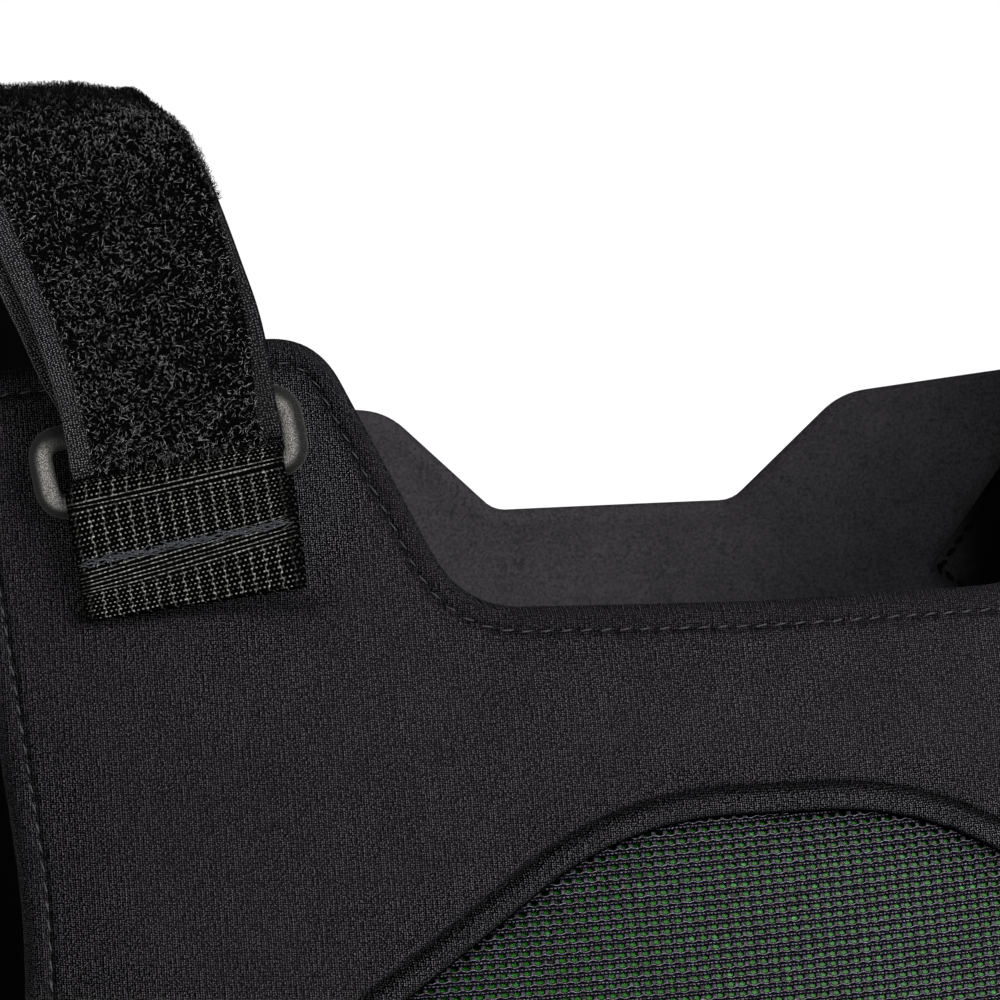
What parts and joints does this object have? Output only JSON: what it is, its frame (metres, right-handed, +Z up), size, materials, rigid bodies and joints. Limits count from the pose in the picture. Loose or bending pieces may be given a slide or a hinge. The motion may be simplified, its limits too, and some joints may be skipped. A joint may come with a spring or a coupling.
{
  "type": "chest guard",
  "caption": "Soft padded chest guard with a knit front panel, a mesh window over a chest pad, a notched back panel, hook-and-loop shoulder straps on rings and elastic waist bands.",
  "frame": {"origin": "midway between the two shoulder straps, at the underside of their highest point, where they lie on the shoulders", "axes": "+Z up along the torso, the front panel facing -Y, the wearer's right at -X"},
  "size_m": [0.3442, 0.2229, 0.4375],
  "materials": {
    "knit": "fine charcoal stretch knit",
    "lining": "brushed charcoal lining",
    "pile": "black loop pile",
    "webbing": "black ribbed webbing",
    "elastic": "black ribbed elastic",
    "netting": "grey warp-knit mesh",
    "foam": "matt green foam",
    "plastic": "grained dark grey moulding"
  },
  "bodies": {
    "root": {"front_panel": "knit", "window_mesh": "netting", "chest_pad": "foam", "back_panel": "knit", "strap_ring_right": "plastic", "strap_ring_left": "plastic", "ring_tab_right": "webbing", "ring_tab_left": "webbing", "shoulder_strap_right": "pile", "shoulder_strap_left": "pile", "strap_anchor_right": "lining", "strap_anchor_left": "lining", "side_band_right": "elastic", "side_band_left": "elastic"}
  },
  "joints": []
}
